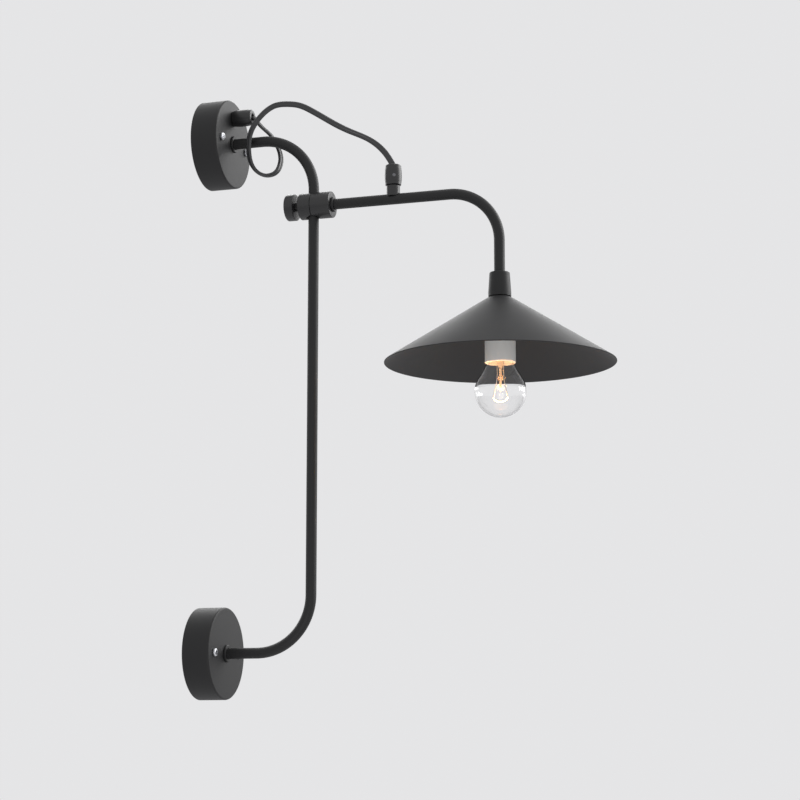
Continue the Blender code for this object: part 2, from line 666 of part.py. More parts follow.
def lamp_head(head, black, white, zinc, brass):
    """The shade between its cup and nut, and the lampholder under it. The frame is on the
    shade's axis at the height of the arm's axis."""
    cup_top = SHADE_TOP_Z + SOCKET_CUP_HEIGHT
    foot = SHADE_TOP_Z + GAP
    turned(
        "socket_cup",
        [
            (TUBE_HOLE, cup_top),
            (SOCKET_CUP_TOP - 0.0008, cup_top),
            (SOCKET_CUP_TOP, cup_top - 0.0008),
            (SOCKET_CUP_FOOT, foot + 0.004),
            (SOCKET_CUP_FOOT, foot),
            (SOCKET_CUP_FOOT - SOCKET_CUP_WALL, foot),
            (SOCKET_CUP_TOP - SOCKET_CUP_WALL, cup_top - 0.003),
            (TUBE_HOLE, cup_top - 0.003),
        ],
        black, parent=head,
    )
    rim = SHADE_DIAMETER / 2
    slope = SHADE_HEIGHT / (rim - SOCKET_CUP_FOOT)
    drop = SHADE_WALL * math.hypot(1, slope)
    turned(
        "shade",
        [
            (TUBE_HOLE, SHADE_TOP_Z),
            (SOCKET_CUP_FOOT, SHADE_TOP_Z),
            (rim, SHADE_RIM_Z + drop / 2),
            (rim, SHADE_RIM_Z),
            (rim - drop / 2 / slope, SHADE_RIM_Z),
            (SOCKET_CUP_FOOT, SHADE_TOP_Z - drop),
            (SOCKET_CUP_FOOT - 0.0004, SHADE_TOP_Z - SHADE_WALL),
            (TUBE_HOLE, SHADE_TOP_Z - SHADE_WALL),
        ],
        black, 48, parent=head,
    )
    nut_at = SHADE_TOP_Z - SHADE_WALL - GAP - NUT_THICKNESS
    hex_nut("shade_nut", TUBE_HOLE, NUT_THICKNESS, zinc, location=(0, 0, nut_at), parent=head)
    top = SHADE_TOP_Z - HOLDER_TOP
    shell_top = HOLDER_FOOT_Z + SHELL_TOP
    shell_foot = HOLDER_FOOT_Z + SHELL_FOOT
    seat = SHELL_BORE + SHELL_WALL + GAP
    turned(
        "lampholder",
        [
            (TUBE_HOLE, top),
            (HOLDER_RADIUS - HOLDER_ROUND, top),
            (HOLDER_RADIUS, top - HOLDER_ROUND),
            (HOLDER_RADIUS, HOLDER_FOOT_Z + 0.0008),
            (HOLDER_RADIUS - 0.0008, HOLDER_FOOT_Z),
            (HOLDER_RADIUS - HOLDER_WALL, HOLDER_FOOT_Z),
            (HOLDER_RADIUS - HOLDER_WALL, shell_foot),
            (seat, shell_foot),
            (seat, shell_top + GAP),
            (seat, shell_top + 0.003),
            (TUBE_HOLE, shell_top + 0.003),
        ],
        white, 32, parent=head,
    )
    washer(
        "screw_shell", SHELL_BORE, SHELL_BORE + SHELL_WALL, shell_top - shell_foot, brass, 24,
        location=(0, 0, shell_foot), parent=head,
    )
    contact = HOLDER_FOOT_Z - BULB_DROP - BULB_RADIUS + BULB_LENGTH + CONTACT_GAP
    turned(
        "centre_contact",
        [
            (0, contact),
            (CONTACT_RADIUS / 2, contact),
            (CONTACT_RADIUS / 2, contact + 0.0008),
            (CONTACT_RADIUS, contact + 0.0012),
            (CONTACT_RADIUS, contact + 0.0020),
            (0, contact + 0.0020),
        ],
        brass, 16, ring=False, parent=head,
    )


def glass_outline(radius):
    """The bulb's outline at one face of its glass, from the globe's pole up to the neck.
    Heights are from the globe's centre."""
    inset = BULB_RADIUS - radius
    outline = [(radius * math.sin(a), -radius * math.cos(a)) for a in np.radians(np.linspace(0, 125, 9))]
    neck = BULB_LENGTH - BULB_RADIUS - CAP_LENGTH
    outline.append((0.0112 - inset, neck * 0.68))
    outline.append((0.0088 - inset, neck * 0.85))
    outline.append((GLASS_NECK_RADIUS - inset, neck))
    outline.append((GLASS_NECK_RADIUS - inset, neck + 0.003))
    return outline


def bulb(head, glass, steel, brass, dark, white_hot):
    """The bulb. Its frame is at the globe's centre, on the axis that it unscrews about."""
    centre = HOLDER_FOOT_Z - BULB_DROP
    tip_frame = make_frame("bulb_tip_frame", (0, 0, centre), head)
    frame = make_frame("bulb_frame", (0, 0, 0), tip_frame)
    neck = BULB_LENGTH - BULB_RADIUS - CAP_LENGTH
    tip = BULB_LENGTH - BULB_RADIUS
    turned(
        "bulb_glass", glass_outline(BULB_RADIUS) + glass_outline(BULB_RADIUS - GLASS_WALL)[::-1],
        glass, 20, ring=False, parent=frame,
    )
    turned(
        "bulb_cap",
        [
            (CAP_RADIUS - CAP_WALL, neck),
            (CAP_RADIUS, neck),
            (CAP_RADIUS, tip - 0.0045),
            (0.0046, tip - 0.0022),
            (0.0040, tip - 0.0022),
            (CAP_RADIUS - CAP_WALL, tip - 0.0050),
        ],
        steel, 24, parent=frame,
    )
    turned(
        "cap_insulator",
        [
            (0.0026, tip - 0.0035),
            (0.0037, tip - 0.0035),
            (0.0037, tip - 0.0018),
            (0.0026, tip - 0.0010),
        ],
        dark, 16, parent=frame,
    )
    turned(
        "bulb_tip",
        [
            (0, tip - 0.003),
            (0.0023, tip - 0.003),
            (0.0023, tip - 0.0007),
            (0.0012, tip),
            (0, tip),
        ],
        brass, 16, ring=False, parent=tip_frame,
    )
    stem_top = neck + 0.0025
    turned(
        "bulb_stem",
        [
            (0, stem_top),
            (STEM_FLARE_RADIUS, stem_top),
            (0.0032, stem_top - 0.005),
            (0.0024, stem_top - 0.012),
            (0.0018, 0.010),
            (0.0008, 0.004),
            (0, 0.003),
        ],
        glass, 16, ring=False, parent=frame,
    )
    span = FILAMENT_SPAN / 2
    for side, sign in (("left", -1), ("right", 1)):
        route = [
            (0, sign * 0.0032, stem_top - 0.0120),
            (0, sign * 0.0030, 0.0120),
            (0, sign * 0.0044, 0.0040),
            (0, sign * span, -0.0040),
        ]
        wire(f"filament_support_{side}", smooth_points(route, 0.005), FILAMENT_RADIUS, steel, frame)
    arc = []
    for k in range(7):
        angle = math.pi * k / 6
        arc.append((0, -(span + 0.0001) * math.cos(angle), -0.0047 - 0.0042 * math.sin(angle)))
    wire("filament", arc, FILAMENT_RADIUS, white_hot, frame)


def build():
    clear_scene()
    black = make_material("black powder coat", (0.028, 0.028, 0.030), 0.45)
    cord = make_material("black cord", (0.018, 0.018, 0.019), 0.5)
    zinc = make_material("zinc plated steel", (0.62, 0.63, 0.65), 0.3, 1.0)
    steel = make_material("steel", (0.5, 0.5, 0.52), 0.35, 1.0)
    brass = make_material("brass", (0.72, 0.52, 0.22), 0.3, 1.0)
    white = make_material("white lampholder", (0.78, 0.76, 0.70), 0.45)
    nylon = make_material("black nylon", (0.03, 0.03, 0.03), 0.6)
    dark = make_material("black glass", (0.02, 0.02, 0.025), 0.2)
    lead = make_material("lead insulation", (0.35, 0.16, 0.07), 0.5)
    glass = make_material("clear glass", (0.95, 0.95, 0.95), 0.05, alpha=0.25)
    white_hot = make_material("filament wire", (1.0, 0.75, 0.45), 0.4)
    wall_side(black, zinc, steel, white, lead)
    carriage = make_frame("carriage_frame", (0, -TUBE_STANDOFF, ARM_Z))
    arm = make_frame("arm_frame", (0, 0, 0), carriage)
    head = make_frame("head_frame", (0, -ARM_REACH, 0), arm)
    bpy.context.view_layer.update()
    spacing = 2 * CORD_DIAMETER
    loop = smooth_points(CORD_ROUTE, spacing, last=CORD_MEETING, gap=GAP)
    run = smooth_points(CORD_ROUTE, spacing, first=CORD_MEETING, gap=GAP)
    wire("cord_loop", loop, CORD_DIAMETER / 2, cord)
    wire("cord_run", run, CORD_DIAMETER / 2, cord)
    clamp(arm, carriage, black, zinc, nylon)
    arm_side(arm, black, zinc, cord)
    lamp_head(head, black, white, zinc, brass)
    bulb(head, glass, steel, brass, dark, white_hot)


build()
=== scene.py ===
"""A swing arm wall sconce. Two wall cups carry a bent tube, a clamp on the tube holds the
swinging arm, and the arm carries a cone shade over a clear bulb. Metres, +Z up, with the
wall at y = 0 and the lamp reaching along -Y."""

import math

import bmesh
import bpy
import numpy as np
from mathutils import Matrix, Vector


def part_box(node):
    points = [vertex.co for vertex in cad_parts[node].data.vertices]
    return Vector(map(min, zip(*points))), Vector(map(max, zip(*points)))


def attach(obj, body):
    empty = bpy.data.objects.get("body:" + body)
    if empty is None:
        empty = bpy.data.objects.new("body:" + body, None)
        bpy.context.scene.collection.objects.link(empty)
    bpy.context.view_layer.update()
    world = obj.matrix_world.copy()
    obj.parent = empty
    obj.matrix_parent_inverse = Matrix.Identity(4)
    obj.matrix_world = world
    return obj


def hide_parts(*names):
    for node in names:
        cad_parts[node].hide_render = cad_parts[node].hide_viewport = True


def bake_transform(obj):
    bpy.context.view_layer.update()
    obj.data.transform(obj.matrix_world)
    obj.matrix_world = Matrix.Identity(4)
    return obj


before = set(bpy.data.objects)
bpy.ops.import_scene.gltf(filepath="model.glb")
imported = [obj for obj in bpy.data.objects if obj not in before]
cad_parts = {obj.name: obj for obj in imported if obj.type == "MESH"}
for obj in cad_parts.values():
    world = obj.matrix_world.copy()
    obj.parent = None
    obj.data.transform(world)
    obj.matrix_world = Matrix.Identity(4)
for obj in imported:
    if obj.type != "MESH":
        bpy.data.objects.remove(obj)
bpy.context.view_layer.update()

# ---------------------------------------------------------------------------
# Camera. It looks up at the lamp from the left, a little below the lower cup,
# with a long lens. Its place was found from the lamp's own proportions.

camera_data = bpy.data.cameras.new("camera")
camera_data.sensor_width = 36
camera_data.lens = 93.74
camera_data.clip_start = 0.05
camera_data.clip_end = 60
camera = bpy.data.objects.new("camera", camera_data)
bpy.context.collection.objects.link(camera)
camera.location = (-1.704, -0.7507, -0.5484)
camera_turn = math.radians(71.66)
camera_tilt = math.radians(9.56)
sight = Vector((
    math.sin(camera_turn) * math.cos(camera_tilt),
    math.cos(camera_turn) * math.cos(camera_tilt),
    math.sin(camera_tilt),
))
camera.rotation_euler = sight.to_track_quat("-Z", "Y").to_euler()
bpy.context.scene.camera = camera

# ---------------------------------------------------------------------------
# Cord. A flat two-core flex in a black sheath, 5.4 mm wide and 3.2 mm thick. It
# leaves the wall gland, goes once round the tube's upper leg and hangs across to
# the arm. It is in two stretches, because it bends with the slide and the swing.


class Wire:
    """One of a finish's sockets, which takes part in sums as a number does."""

    def __init__(self, finish, socket):
        self.finish = finish
        self.socket = socket

    def sum(self, operation, first, second):
        inputs = {0: first, 1: second}
        return self.finish.node("ShaderNodeMath", {"operation": operation}, inputs)

    def __add__(self, other):
        return self.sum("ADD", self, other)

    __radd__ = __add__

    def __mul__(self, other):
        return self.sum("MULTIPLY", self, other)

    __rmul__ = __mul__


class Finish:
    """A material built from nodes. Its constants are set on the shader's own sockets."""

    def __init__(self, name, **constants):
        self.material = bpy.data.materials.new(name)
        self.material.use_nodes = True
        self.tree = self.material.node_tree
        self.shader = self.tree.nodes["Principled BSDF"]
        for socket, value in constants.items():
            self.shader.inputs[socket.replace("_", " ")].default_value = value

    def node(self, kind, settings=None, inputs=None, output=0):
        """Adds a node of this kind, and gives back one of its outputs."""
        made = self.tree.nodes.new(kind)
        for name, value in (settings or {}).items():
            setattr(made, name, value)
        for name, value in (inputs or {}).items():
            self.join(value, made.inputs[name])
        return Wire(self, made.outputs[output])

    def join(self, value, socket):
        if isinstance(value, Wire):
            self.tree.links.new(value.socket, socket)
        else:
            socket.default_value = value

    def feed(self, socket, value):
        self.join(value, self.shader.inputs[socket])

    def noise(self, scale, detail, stretch=(1, 1, 1)):
        """Noise in metres over the piece, from 0 to 1."""
        place = self.node("ShaderNodeTexCoord", output="Object")
        place = self.node("ShaderNodeMapping", inputs={"Vector": place, "Scale": stretch})
        inputs = {"Vector": place, "Scale": scale, "Detail": detail, "Roughness": 0.5}
        return self.node("ShaderNodeTexNoise", inputs=inputs)

    def mix(self, amount, first, second):
        """A colour between two. The node's sockets 6 and 7 are its colours, and output 2 too."""
        inputs = {0: amount, 6: first, 7: second}
        return self.node("ShaderNodeMix", {"data_type": "RGBA"}, inputs, 2)

    def bump(self, height, depth, strength):
        inputs = {"Height": height, "Distance": depth, "Strength": strength}
        self.feed("Normal", self.node("ShaderNodeBump", inputs=inputs))


CORD_WIDTH = 0.0054
CORD_THICKNESS = 0.0032
# Route points in metres, each with the roll in degrees of the cord's wide side.
CORD_ROUTE = [
    (0.0000, -0.0444, 0.0243, 20),
    (0.0008, -0.0484, 0.0190, 20),
    (0.0048, -0.0534, 0.0132, 15),
    (0.0088, -0.0585, 0.0078, 15),
    (0.0105, -0.0635, -0.0010, 20),
    (0.0090, -0.0678, -0.0110, 30),
    (0.0050, -0.0692, -0.0212, 30),
    (0.0000, -0.0663, -0.0304, 15),
    (-0.0050, -0.0585, -0.0334, 5),
    (-0.0088, -0.0494, -0.0272, 30),
    (-0.0105, -0.0452, -0.0160, 60),
    (-0.0108, -0.0444, -0.0050, 70),
    (-0.0105, -0.0464, 0.0070, 75),
    (-0.0100, -0.0520, 0.0171, 80),
    (-0.0095, -0.0600, 0.0252, 85),
    (-0.0095, -0.0690, 0.0298, 85),
    (-0.0098, -0.0810, 0.0301, 85),
    (-0.0102, -0.0930, 0.0276, 85),
    (-0.0108, -0.1055, 0.0210, 85),
    (-0.0110, -0.1160, 0.0142, 80),
    (-0.0108, -0.1290, 0.0058, 75),
    (-0.0088, -0.1420, -0.0012, 65),
    (-0.0050, -0.1560, -0.0077, 60),
    (-0.0020, -0.1664, -0.0152, 70),
    (-0.0004, -0.1745, -0.0250, 80),
    (-0.0002, -0.1793, -0.0333, 80),
]
# The route's points, counted from 0, where the two stretches meet and where the arm holds the
# cord.
CORD_MEETING = 19
CORD_END = 25

sheath = Finish("cord_sheath")
sheath_cloud = sheath.noise(60, 3)
sheath_grain = sheath.noise(1500, 2)
sheath.feed("Roughness", 0.26 + sheath_cloud * 0.10 + sheath_grain * 0.05)
sheath_dark = (0.022, 0.022, 0.023, 1)
sheath_light = (0.036, 0.036, 0.038, 1)
sheath.feed("Base Color", sheath.mix(sheath_cloud, sheath_dark, sheath_light))
sheath.bump(sheath_grain, 0.00003, 0.35)


def smooth_points(route, spacing, first, last):
    """Evenly spaced points on a natural cubic curve through the route, from one of its
    points to another."""
    points = np.array(route, float)
    steps = np.linalg.norm(np.diff(points[:, :3], axis=0), axis=1)
    at = np.concatenate([[0], np.cumsum(steps)])
    count = len(points)
    slopes = np.diff(points, axis=0) / steps[:, None]
    matrix = np.eye(count)
    right = np.zeros((count, points.shape[1]))
    for k in range(1, count - 1):
        matrix[k, k - 1 : k + 2] = steps[k - 1], 2 * (steps[k - 1] + steps[k]), steps[k]
        right[k] = 6 * (slopes[k] - slopes[k - 1])
    bend = np.linalg.solve(matrix, right)
    where = np.linspace(at[first], at[last], round((at[last] - at[first]) / spacing) + 1)
    k = np.clip(np.searchsorted(at, where) - 1, 0, count - 2)
    step = steps[k][:, None]
    before = (at[k + 1] - where)[:, None]
    after = (where - at[k])[:, None]
    return (
        bend[k] * before**3 / (6 * step)
        + bend[k + 1] * after**3 / (6 * step)
        + (points[k] / step - bend[k] * step / 6) * before
        + (points[k + 1] / step - bend[k + 1] * step / 6) * after
    )


def flex_section():
    """The outline of two cores side by side in one sheath, with a groove between them. It is
    fuller than an ellipse."""
    sides = 28
    fullness = 0.75
    groove_depth = 0.3
    groove_width = 0.0006
    turn = np.arange(sides) * math.tau / sides
    across = CORD_WIDTH / 2 * np.cos(turn)
    height = CORD_THICKNESS / 2 * np.sign(np.sin(turn)) * np.abs(np.sin(turn)) ** fullness
    groove = 1 - groove_depth * np.exp(-((across / groove_width) ** 2))
    return across, height * groove


def flex(name, first, last):
    """A stretch of the cord, as rings of its section along the smooth route. Gives back the
    piece and the line that it follows."""
    ring_spacing = 0.0012
    points = smooth_points(CORD_ROUTE, ring_spacing, first, last)
    centres = points[:, :3]
    rolls = np.radians(points[:, 3])
    along = np.gradient(centres, axis=0)
    along /= np.linalg.norm(along, axis=1)[:, None]
    across, height = flex_section()
    mesh = bmesh.new()
    rings = []
    for centre, direction, roll in zip(centres, along, rolls):
        direction = Vector(direction)
        side = Vector((1, 0, 0))
        side = (side - direction * side.dot(direction)).normalized()
        up = direction.cross(side)
        wide = side * math.cos(roll) + up * math.sin(roll)
        thin = direction.cross(wide)
        offsets = [wide * a + thin * h for a, h in zip(across, height)]
        rings.append([mesh.verts.new(Vector(centre) + offset) for offset in offsets])
    for ring, after in zip(rings, rings[1:]):
        for k in range(len(ring)):
            nearby = (k + 1) % len(ring)
            mesh.faces.new((ring[k], ring[nearby], after[nearby], after[k]))
    mesh.faces.new(rings[0][::-1])
    mesh.faces.new(rings[-1])
    bmesh.ops.recalc_face_normals(mesh, faces=mesh.faces)
    data = bpy.data.meshes.new(name)
    mesh.to_mesh(data)
    mesh.free()
    data.shade_smooth()
    data.set_sharp_from_angle(angle=math.radians(50))
    data.materials.append(sheath.material)
    obj = bpy.data.objects.new(name, data)
    bpy.context.collection.objects.link(obj)
    return obj, centres


def route_length(points):
    return float(np.linalg.norm(np.diff(points, axis=0), axis=1).sum())


cord_loop, loop_line = flex("cord_round_the_tube", 0, CORD_MEETING)
cord_run, run_line = flex("cord_to_the_arm", CORD_MEETING, CORD_END)
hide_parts("cord_loop")
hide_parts("cord_run")
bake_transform(cord_loop)
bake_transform(cord_run)
route_length(loop_line)
route_length(run_line)

# ---------------------------------------------------------------------------
# Studio. A plain pale floor far below the lamp and pale air all round it. Large soft
# boxes stand behind the lamp on both sides and above it, and weak ones light it from
# overhead and from low in front.

FLOOR_HEIGHT = -2.8
bpy.ops.object.select_all(action="DESELECT")
bpy.ops.mesh.primitive_plane_add(size=40, location=(0, 0, FLOOR_HEIGHT))
floor = bpy.context.object
floor.name = "floor"
floor_paint = Finish("floor_paint", Roughness=0.9)
floor_cloud = floor_paint.noise(0.6, 3)
floor_dark = (0.62, 0.62, 0.63, 1)
floor_light = (0.66, 0.66, 0.67, 1)
floor_paint.feed("Base Color", floor_paint.mix(floor_cloud, floor_dark, floor_light))
floor.data.materials.append(floor_paint.material)

world = bpy.data.worlds.new("studio")
bpy.context.scene.world = world
world.use_nodes = True
air = world.node_tree.nodes["Background"]
air.inputs["Color"].default_value = (0.80, 0.80, 0.81, 1)
air.inputs["Strength"].default_value = 0.98
bpy.context.scene.view_settings.view_transform = "Standard"


def soft_box(name, place, aim, width, height, power):
    """A rectangular lamp at a place in the studio, turned to face a point."""
    light = bpy.data.lights.new(name, "AREA")
    light.shape = "RECTANGLE"
    light.size = width
    light.size_y = height
    light.energy = power
    lamp = bpy.data.objects.new(name, light)
    bpy.context.collection.objects.link(lamp)
    lamp.location = place
    lamp.rotation_euler = (Vector(aim) - Vector(place)).to_track_quat("-Z", "Y").to_euler()
    return lamp


middle = (0, -0.16, -0.22)
shade_mouth = (0, -0.28, -0.15)
soft_box("soft_box_room", (1.5, -2.3, 1.2), middle, 2.2, 2.6, 78)
soft_box("soft_box_wall", (1.5, 1.9, 1.4), middle, 2.4, 2.4, 34)
soft_box("soft_box_fill", (-2.0, -0.9, -1.4), shade_mouth, 1.2, 1.2, 7)
soft_box("soft_box_top", (-0.2, -0.3, 2.4), middle, 0.9, 1.6, 6)
backdrop_light = soft_box("soft_box_backdrop", (2.9, -0.1, 1.6), middle, 3.2, 0.9, 30)
backdrop_light.visible_camera = False

# ---------------------------------------------------------------------------
# Wall cups. Two deep-drawn steel cups, 81 mm across and 25 mm deep, in a fine
# satin black powder coat. Each has a small round at its front edge.

CUP_WALL = 0.0012
CUP_ROUND = 0.0016
CUP_INNER_ROUND = 0.0008
CUP_EDGE = 0.0003
SMOOTH_UNDER = math.radians(32)


def powder_coat(name, grey, roughness, shine):
    """Powder coat: a fine orange peel with finer grain in it, slightly uneven gloss."""
    coat = Finish(name, Specular_IOR_Level=shine)
    cloud = coat.noise(scale=22, detail=3)
    peel = coat.noise(scale=900, detail=2)
    grain = coat.noise(scale=3200, detail=2)
    dark = (grey * 0.86, grey * 0.86, grey * 0.90, 1)
    light = (grey * 1.16, grey * 1.16, grey * 1.20, 1)
    coat.feed("Base Color", coat.mix(cloud * 0.7 + grain * 0.3, dark, light))
    coat.feed("Roughness", roughness - 0.06 + cloud * 0.10 + grain * 0.08)
    coat.bump(peel * 0.7 + grain * 0.3, 0.00006, 0.35)
    return coat


coat = powder_coat("black_powder_coat", grey=0.0105, roughness=0.50, shine=0.36)


def arc(radius, height, size, start, end, steps=6):
    """Points on a quarter or other part of a circle, in an outline of (radius, height)."""
    turn = [math.radians(start + (end - start) * k / steps) for k in range(steps + 1)]
    return [(radius + size * math.cos(a), height + size * math.sin(a)) for a in turn]


def turned(name, outline, sides, ring=False, capped=True, facing=None, at=(0, 0, 0)):
    """Raises a turned piece from a circle, ring by ring along its outline of (radius,
    height) points. A ring's outline comes back to its first point. A solid piece starts on
    a flat cap and ends on the axis or on a ring that is left open. Its axis stands up, or
    faces the room or the wall."""
    bpy.ops.object.select_all(action="DESELECT")
    start_radius, start_height = outline[0]
    bpy.ops.mesh.primitive_circle_add(
        vertices=sides,
        radius=start_radius,
        fill_type="NGON" if capped and not ring else "NOTHING",
        location=(0, 0, start_height),
    )
    obj = bpy.context.object
    obj.name = name
    bpy.ops.object.mode_set(mode="EDIT")
    bpy.ops.mesh.select_all(action="SELECT")
    onwards = outline[1:] + (outline[:1] if ring else [])
    for (radius, height), (new_radius, new_height) in zip(outline, onwards):
        rise = (0, 0, new_height - height)
        bpy.ops.mesh.extrude_region_move(TRANSFORM_OT_translate={"value": rise})
        if new_radius:
            growth = new_radius / radius
            bpy.ops.transform.resize(value=(growth, growth, 1), center_override=(0, 0, 0))
        else:
            bpy.ops.mesh.merge(type="CENTER")
    bpy.ops.mesh.select_all(action="SELECT")
    bpy.ops.mesh.remove_doubles(threshold=1e-6)
    bpy.ops.mesh.normals_make_consistent(inside=False)
    bpy.ops.object.mode_set(mode="OBJECT")
    bpy.ops.object.transform_apply(location=True)
    if facing == "room":
        obj.rotation_euler = (math.pi / 2, 0, 0)
    elif facing == "wall":
        obj.rotation_euler = (-math.pi / 2, 0, 0)
    obj.location = at
    bpy.ops.object.transform_apply(location=True, rotation=True, scale=True)
    bpy.ops.object.shade_smooth_by_angle(angle=SMOOTH_UNDER)
    return obj


def dress(obj, finish, body, slot, *nodes):
    """Gives a piece its finish and its body, and hides the CAD nodes it stands for. The slot is
    not used.
    """
    obj.data.materials.clear()
    obj.data.materials.append(finish.material)
    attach(obj, body)
    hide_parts(*nodes)


def middle_of(node):
    low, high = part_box(node)
    return (low + high) / 2


tube_low, tube_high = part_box("wall_tube")
TUBE_RADIUS = tube_high.x
TUBE_HOLE = TUBE_RADIUS + 0.0003
cup_centres = {}
for which in ("upper", "lower"):
    low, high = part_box(which + "_cup")
    radius = (high.z - low.z) / 2
    depth = -low.y
    centre = Vector((0, 0, (low.z + high.z) / 2))
    cup_centres[which] = centre
    inner = radius - CUP_WALL
    inner_depth = depth - CUP_WALL
    outline = [(inner, 0), (radius - 0.0002, 0), (radius, CUP_EDGE)]
    outline += arc(radius - CUP_ROUND, depth - CUP_ROUND, CUP_ROUND, 0, 90, 8)
    outline += [(TUBE_HOLE, depth), (TUBE_HOLE, inner_depth)]
    outline += [(inner - CUP_INNER_ROUND, inner_depth), (inner, inner_depth - CUP_INNER_ROUND)]
    cup = turned(which + "_cup_cover", outline, sides=128, ring=True, facing="room", at=centre)
    dress(cup, coat, "wall_frame", "black_paint", which + "_cup")

# ---------------------------------------------------------------------------
# Cover screws. M4 pan-head cross-recess screws in bright zinc, two to a cup, on
# the cup's level diameter. They pull the cup onto the strap behind it.

zinc = Finish("bright_zinc", Metallic=1.0)
zinc_streak = zinc.noise(400, 3, (1, 6, 1))
zinc.feed("Roughness", 0.2 + zinc_streak * 0.2)
zinc.feed("Base Color", zinc.mix(zinc_streak, (0.56, 0.57, 0.60, 1), (0.74, 0.75, 0.77, 1)))
zinc.bump(zinc_streak, 0.00002, 0.3)


def sink_cross(obj, width, length, depth, top):
    """Cuts a cross recess into a screw's head, which faces up at this height."""
    for turn in (math.pi / 4, math.pi * 3 / 4):
        bpy.ops.object.select_all(action="DESELECT")
        bpy.ops.mesh.primitive_cube_add(size=1, location=(0, 0, top), rotation=(0, 0, turn))
        tool = bpy.context.object
        tool.scale = (length, width, 2 * depth)
        bpy.ops.object.transform_apply(location=True, rotation=True, scale=True)
        cut = obj.modifiers.new("recess", "BOOLEAN")
        cut.operation = "DIFFERENCE"
        cut.object = tool
        bpy.context.view_layer.objects.active = obj
        bpy.ops.object.modifier_apply(modifier=cut.name)
        bpy.data.objects.remove(tool)


head_low, head_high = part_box("upper_cover_screw_left")
head_radius = (head_high.x - head_low.x) / 2
cup_depth = -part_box("upper_cup")[0].y
head_height = -head_low.y - cup_depth
head_round = 0.0011
head_lift = 0.0002  # the head's underside stands this far off the cup
shank = 0.0019
outline = [(shank, 0.0008 - cup_depth), (shank, -0.002), (0.002, head_lift)]
outline += [(head_radius - 0.0002, head_lift), (head_radius, 2 * head_lift)]
outline += arc(head_radius - head_round, head_height - head_round, head_round, 0, 75, 6)
outline += [(head_radius * 0.45, head_height), (0, head_height)]
pan_head = turned("pan_head", outline, sides=48)
sink_cross(pan_head, width=0.0009, length=0.0036, depth=0.0011, top=head_height)
bpy.context.view_layer.objects.active = pan_head
bpy.ops.object.shade_smooth_by_angle(angle=SMOOTH_UNDER)
for which in ("upper", "lower"):
    for side in ("left", "right"):
        node = f"{which}_cover_screw_{side}"
        screw = bpy.data.objects.new(node + "_head", pan_head.data.copy())
        bpy.context.collection.objects.link(screw)
        seat = Matrix.Translation((middle_of(node).x, -cup_depth, cup_centres[which].z))
        screw.data.transform(seat @ Matrix.Rotation(math.pi / 2, 4, "X"))
        dress(screw, zinc, "wall_frame", "zinc_steel", node)
bpy.data.objects.remove(pan_head)

# ---------------------------------------------------------------------------
# Inside the cups. Slotted steel straps on the wall, the washers and nuts on the
# tube's ends, the gland's nut, and the terminal block with its two leads.

steel = Finish("plain_steel", Metallic=1.0)
steel_streak = steel.noise(120, 4, (1, 1, 14))
steel.feed("Roughness", 0.28 + steel_streak * 0.24)
steel.feed("Base Color", steel.mix(steel_streak, (0.40, 0.40, 0.42, 1), (0.60, 0.60, 0.62, 1)))
steel.bump(steel_streak, 0.00003, 0.3)

terminal_plastic = Finish("terminal_plastic", Base_Color=(0.75, 0.74, 0.70, 1))
terminal_cloud = terminal_plastic.noise(90, 2)
terminal_plastic.feed("Roughness", 0.38 + terminal_cloud * 0.15)
terminal_plastic.bump(terminal_plastic.noise(1400, 1), 0.00003, 0.3)

# One lead is brown and the other is blue, on either side of x = 0.
insulation = Finish("core_insulation")
place = insulation.node("ShaderNodeTexCoord", output="Object")
across = insulation.node("ShaderNodeSeparateXYZ", inputs={0: place}, output="X")
blue_side = insulation.node("ShaderNodeMath", {"operation": "GREATER_THAN"}, {0: across, 1: 0.0})
brown = (0.20, 0.08, 0.035, 1)
blue = (0.03, 0.09, 0.30, 1)
insulation.feed("Base Color", insulation.mix(blue_side, brown, blue))
insulation.feed("Roughness", 0.35 + insulation.noise(400, 2) * 0.15)


def refinish(finish, slot, *nodes):
    """Gives CAD nodes that stay in view a finish of their own."""
    for node in nodes:
        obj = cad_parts[node]
        obj.data.materials.clear()
        obj.data.materials.append(finish.material)


refinish(steel, "zinc_steel", "upper_wall_strap", "lower_wall_strap")
refinish(zinc, "zinc_steel", "upper_tube_washer", "lower_tube_washer")
refinish(zinc, "zinc_steel", "upper_tube_nut", "lower_tube_nut")
refinish(zinc, "zinc_steel", "terminal_screw_left", "terminal_screw_right", "shade_nut")
refinish(coat, "black_paint", "wall_gland_nut")
refinish(terminal_plastic, "white_plastic", "terminal_block")
refinish(insulation, "lead_insulation", "wall_lead_left", "wall_lead_right")
refinish(sheath, "black_cord", "inner_cord")

# ---------------------------------------------------------------------------
# Wall tube. A 9.5 mm steel tube, bent at both ends to stand off the wall, powder
# coated, with a thin black collar where each end enters its cup.

TUBE_WALL = 0.001
WALL_BEND = 0.050
stand_off = -(tube_low.y + TUBE_RADIUS)
spacing = cup_centres["upper"].z - cup_centres["lower"].z
tube_end = -tube_high.y


